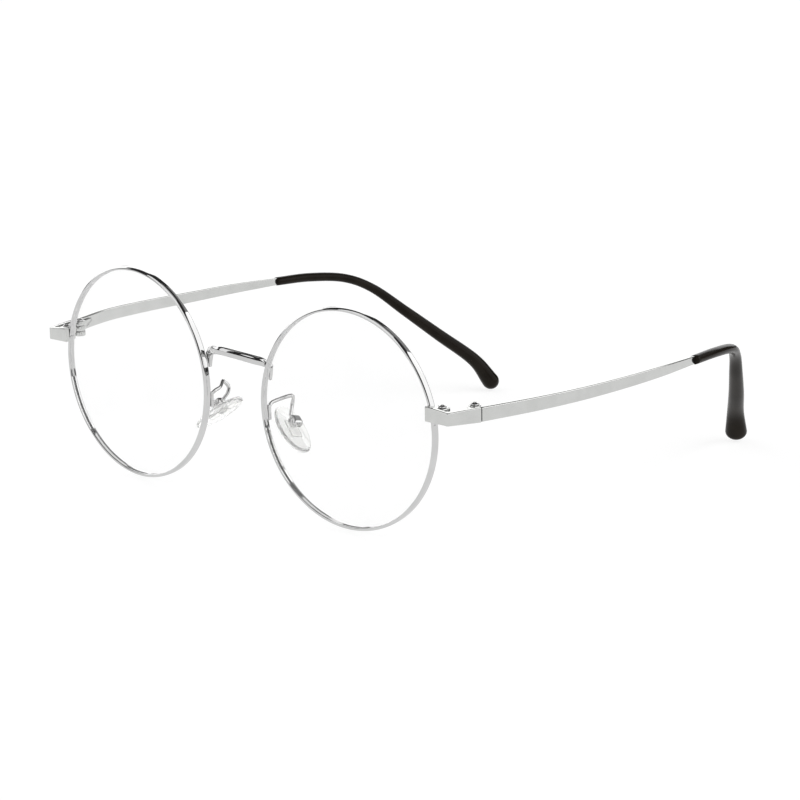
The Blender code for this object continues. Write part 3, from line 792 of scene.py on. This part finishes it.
def pad_box():
    """The little pillow-edged box, open towards the pad, that the screw goes through."""
    axes = pad_axes()
    half = PAD_BOX / 2
    through = PAD_BOX.y + 2
    stand = axes @ Matrix.Translation((0, -half.y - 1, 0)) @ Matrix.Rotation(-math.pi / 2, 4, "X")
    cuts = [
        block("room", (-3, -BOX_ROOM, -2), (3, BOX_ROOM, half.z - BOX_TOP), axes),
        lathe("hole", [(0, 0), (SCREW_R, 0), (SCREW_R, through), (0, through)], 48, stand),
    ]
    mesh = combined(block("pad_box", -half, half, axes, BOX_EDGE, 7), cuts, "DIFFERENCE")
    pair(mesh, POLISHED, "front", "pad_box", 40)


def pad_screw():
    axes = pad_axes()
    stand = axes @ Matrix.Translation((0, -(PAD_BOX.y / 2 + GAP), 0))
    stand = stand @ Matrix.Rotation(math.pi / 2, 4, "X")
    length = PAD_BOX.y - 0.1
    mesh = screw(stand, PAD_HEAD_R, length, PAD_HEAD_RISE, PAD_SHAFT_R)
    pair(mesh, POLISHED, "front", "pad_screw")


def nose_pad():
    """The clear pad: a soft oval cushion, crowned towards the nose, with a raised lip at the back."""
    axes = pad_axes()
    top = -PAD_BOX.z / 2 - PAD_DROP
    half = PAD_THICK / 2
    middle = top - half
    section = [
        (0.0, -half),
        (0.35, -half * 0.98),
        (0.6, -half * 0.92),
        (0.78, -half * 0.78),
        (0.9, -half * 0.5),
        (0.97, -half * 0.2),
        (1.0, half * 0.15),
        (0.985, half * 0.5),
        (0.95, half * 0.8),
        (0.89, half * 0.97),
        (0.82, half),
        (0.74, half * 0.93),
        (0.66, half * 0.75),
        (0.4, half * 0.66),
        (0.0, half * 0.62),
    ]
    steps = 96
    form = bmesh.new()
    rows = []
    for share, height in section:
        if share == 0:
            rows.append([form.verts.new((PAD_SLIDE, 0, middle + height))])
            continue
        row = []
        for k in range(steps):
            angle = math.tau * k / steps
            along = math.copysign(abs(math.cos(angle)) ** 0.94, math.cos(angle))
            across = math.copysign(abs(math.sin(angle)) ** 0.94, math.sin(angle))
            row.append(
                form.verts.new(
                    (
                        PAD_SLIDE + PAD_HALF_LENGTH * share * along,
                        PAD_HALF_WIDTH * share * across,
                        middle + height,
                    )
                )
            )
        rows.append(row)
    for one, two in zip(rows, rows[1:]):
        for k in range(steps):
            n = (k + 1) % steps
            corners = [one[k % len(one)], one[n % len(one)], two[n % len(two)], two[k % len(two)]]
            form.faces.new(list(dict.fromkeys(corners)))
    form.transform(axes)
    bmesh.ops.recalc_face_normals(form, faces=form.faces)
    mesh = bpy.data.meshes.new("nose_pad")
    form.to_mesh(mesh)
    form.free()
    pair(mesh, SILICONE, "pad", "nose_pad", 80)


# ---------------------------------------------------------------- stage, light and camera


def stage():
    """A plain white floor that runs out of sight."""
    form = bmesh.new()
    bmesh.ops.create_grid(form, x_segments=1, y_segments=1, size=6.0)
    mesh = bpy.data.meshes.new("floor")
    form.to_mesh(mesh)
    form.free()
    look = Look("floor", (0.33, 0.33, 0.33), 0.0, 0.9, Specular_IOR_Level=0.0)
    look.drive("Base Color", look.tint(look.noise(3, 2), (0.32, 0.32, 0.32), (0.34, 0.34, 0.34)))
    look.put("Emission Color", (1, 1, 1, 1))
    look.put("Emission Strength", 0.78)
    mesh.materials.append(look.material)
    floor = bpy.data.objects.new("floor", mesh)
    floor.location.z = -0.0005
    bpy.context.scene.collection.objects.link(floor)


def softbox(name, azimuth, elevation, half_across, half_up, radiance):
    """A far rectangular light; angles in degrees, azimuth 0 in front of the glasses and 90 at +X."""
    far = 20.0
    turn, rise = math.radians(azimuth), math.radians(elevation)
    toward = Vector(
        (math.sin(turn) * math.cos(rise), -math.cos(turn) * math.cos(rise), math.sin(rise))
    )
    light = bpy.data.lights.new(name, "AREA")
    light.shape = "RECTANGLE"
    light.size = 2 * far * math.tan(math.radians(half_across))
    light.size_y = 2 * far * math.tan(math.radians(half_up))
    light.energy = radiance * math.pi * light.size * light.size_y
    lamp = bpy.data.objects.new(name, light)
    lamp.location = toward * far
    lamp.rotation_euler = toward.to_track_quat("Z", "Y").to_euler()
    lamp.visible_camera = False
    bpy.context.scene.collection.objects.link(lamp)


def lights():
    """Five soft boxes in a dim room, whose gaps draw the dark lines in the polished wire."""
    softbox("softbox_right", 103, 34, 50, 27, 1.55)
    softbox("softbox_left", -114, 22, 50, 17, 1.65)
    softbox("softbox_front", -20, 34, 21, 32, 1.25)
    softbox("softbox_back", 172, 40, 18, 15, 0.3)
    softbox("softbox_top", 0, 84, 12, 12, 0.45)
    world = bpy.data.worlds.new("studio")
    bpy.context.scene.world = world
    world.use_nodes = True
    tree = world.node_tree
    room = tree.nodes["Background"]
    room.inputs["Color"].default_value = (0.035, 0.035, 0.035, 1)
    beyond = tree.nodes.new("ShaderNodeBackground")
    beyond.inputs["Color"].default_value = (1, 1, 1, 1)
    path = tree.nodes.new("ShaderNodeLightPath")
    mix = tree.nodes.new("ShaderNodeMixShader")
    tree.links.new(path.outputs["Is Camera Ray"], mix.inputs["Fac"])
    tree.links.new(room.outputs[0], mix.inputs[1])
    tree.links.new(beyond.outputs[0], mix.inputs[2])
    tree.links.new(mix.outputs[0], tree.nodes["World Output"].inputs["Surface"])


def camera():
    """The camera in front of the wearer's left side, a little above the rims."""
    right = Vector((0.7398, 0.6726, -0.0162))
    down = Vector((0.160, -0.1992, -0.9668))
    ahead = Vector((-0.6535, 0.7127, -0.255))
    place = Vector((468.9, -457.0, 170.6)) * MM
    turn = Matrix((right, -down, -ahead)).transposed().to_4x4()
    data = bpy.data.cameras.new("camera")
    data.sensor_width = 36.0
    data.lens = 133.5
    data.clip_start = 0.01
    made = bpy.data.objects.new("camera", data)
    made.matrix_world = FRONT @ Matrix.Translation(place) @ turn
    bpy.context.scene.collection.objects.link(made)
    bpy.context.scene.camera = made


CARRIED = {
    "pad_insert": INSERT,
}


def carried_over():
    """The CAD nodes that stay take the same materials."""
    for side in ("left", "right"):
        for node, look in CARRIED.items():
            obj = frame["nodes"][f"{side}_{node}"]
            obj.data.materials.clear()
            obj.data.materials.append(look)


camera()
stage()
lights()
carried_over()
rim()
lens()
bridge()
endpiece()
closing_blocks()
hinge_leaves()
screws()
temple_bar()
temple_tip()
pad_arm()
pad_box()
pad_screw()
nose_pad()
bpy.context.scene.view_settings.view_transform = "Standard"
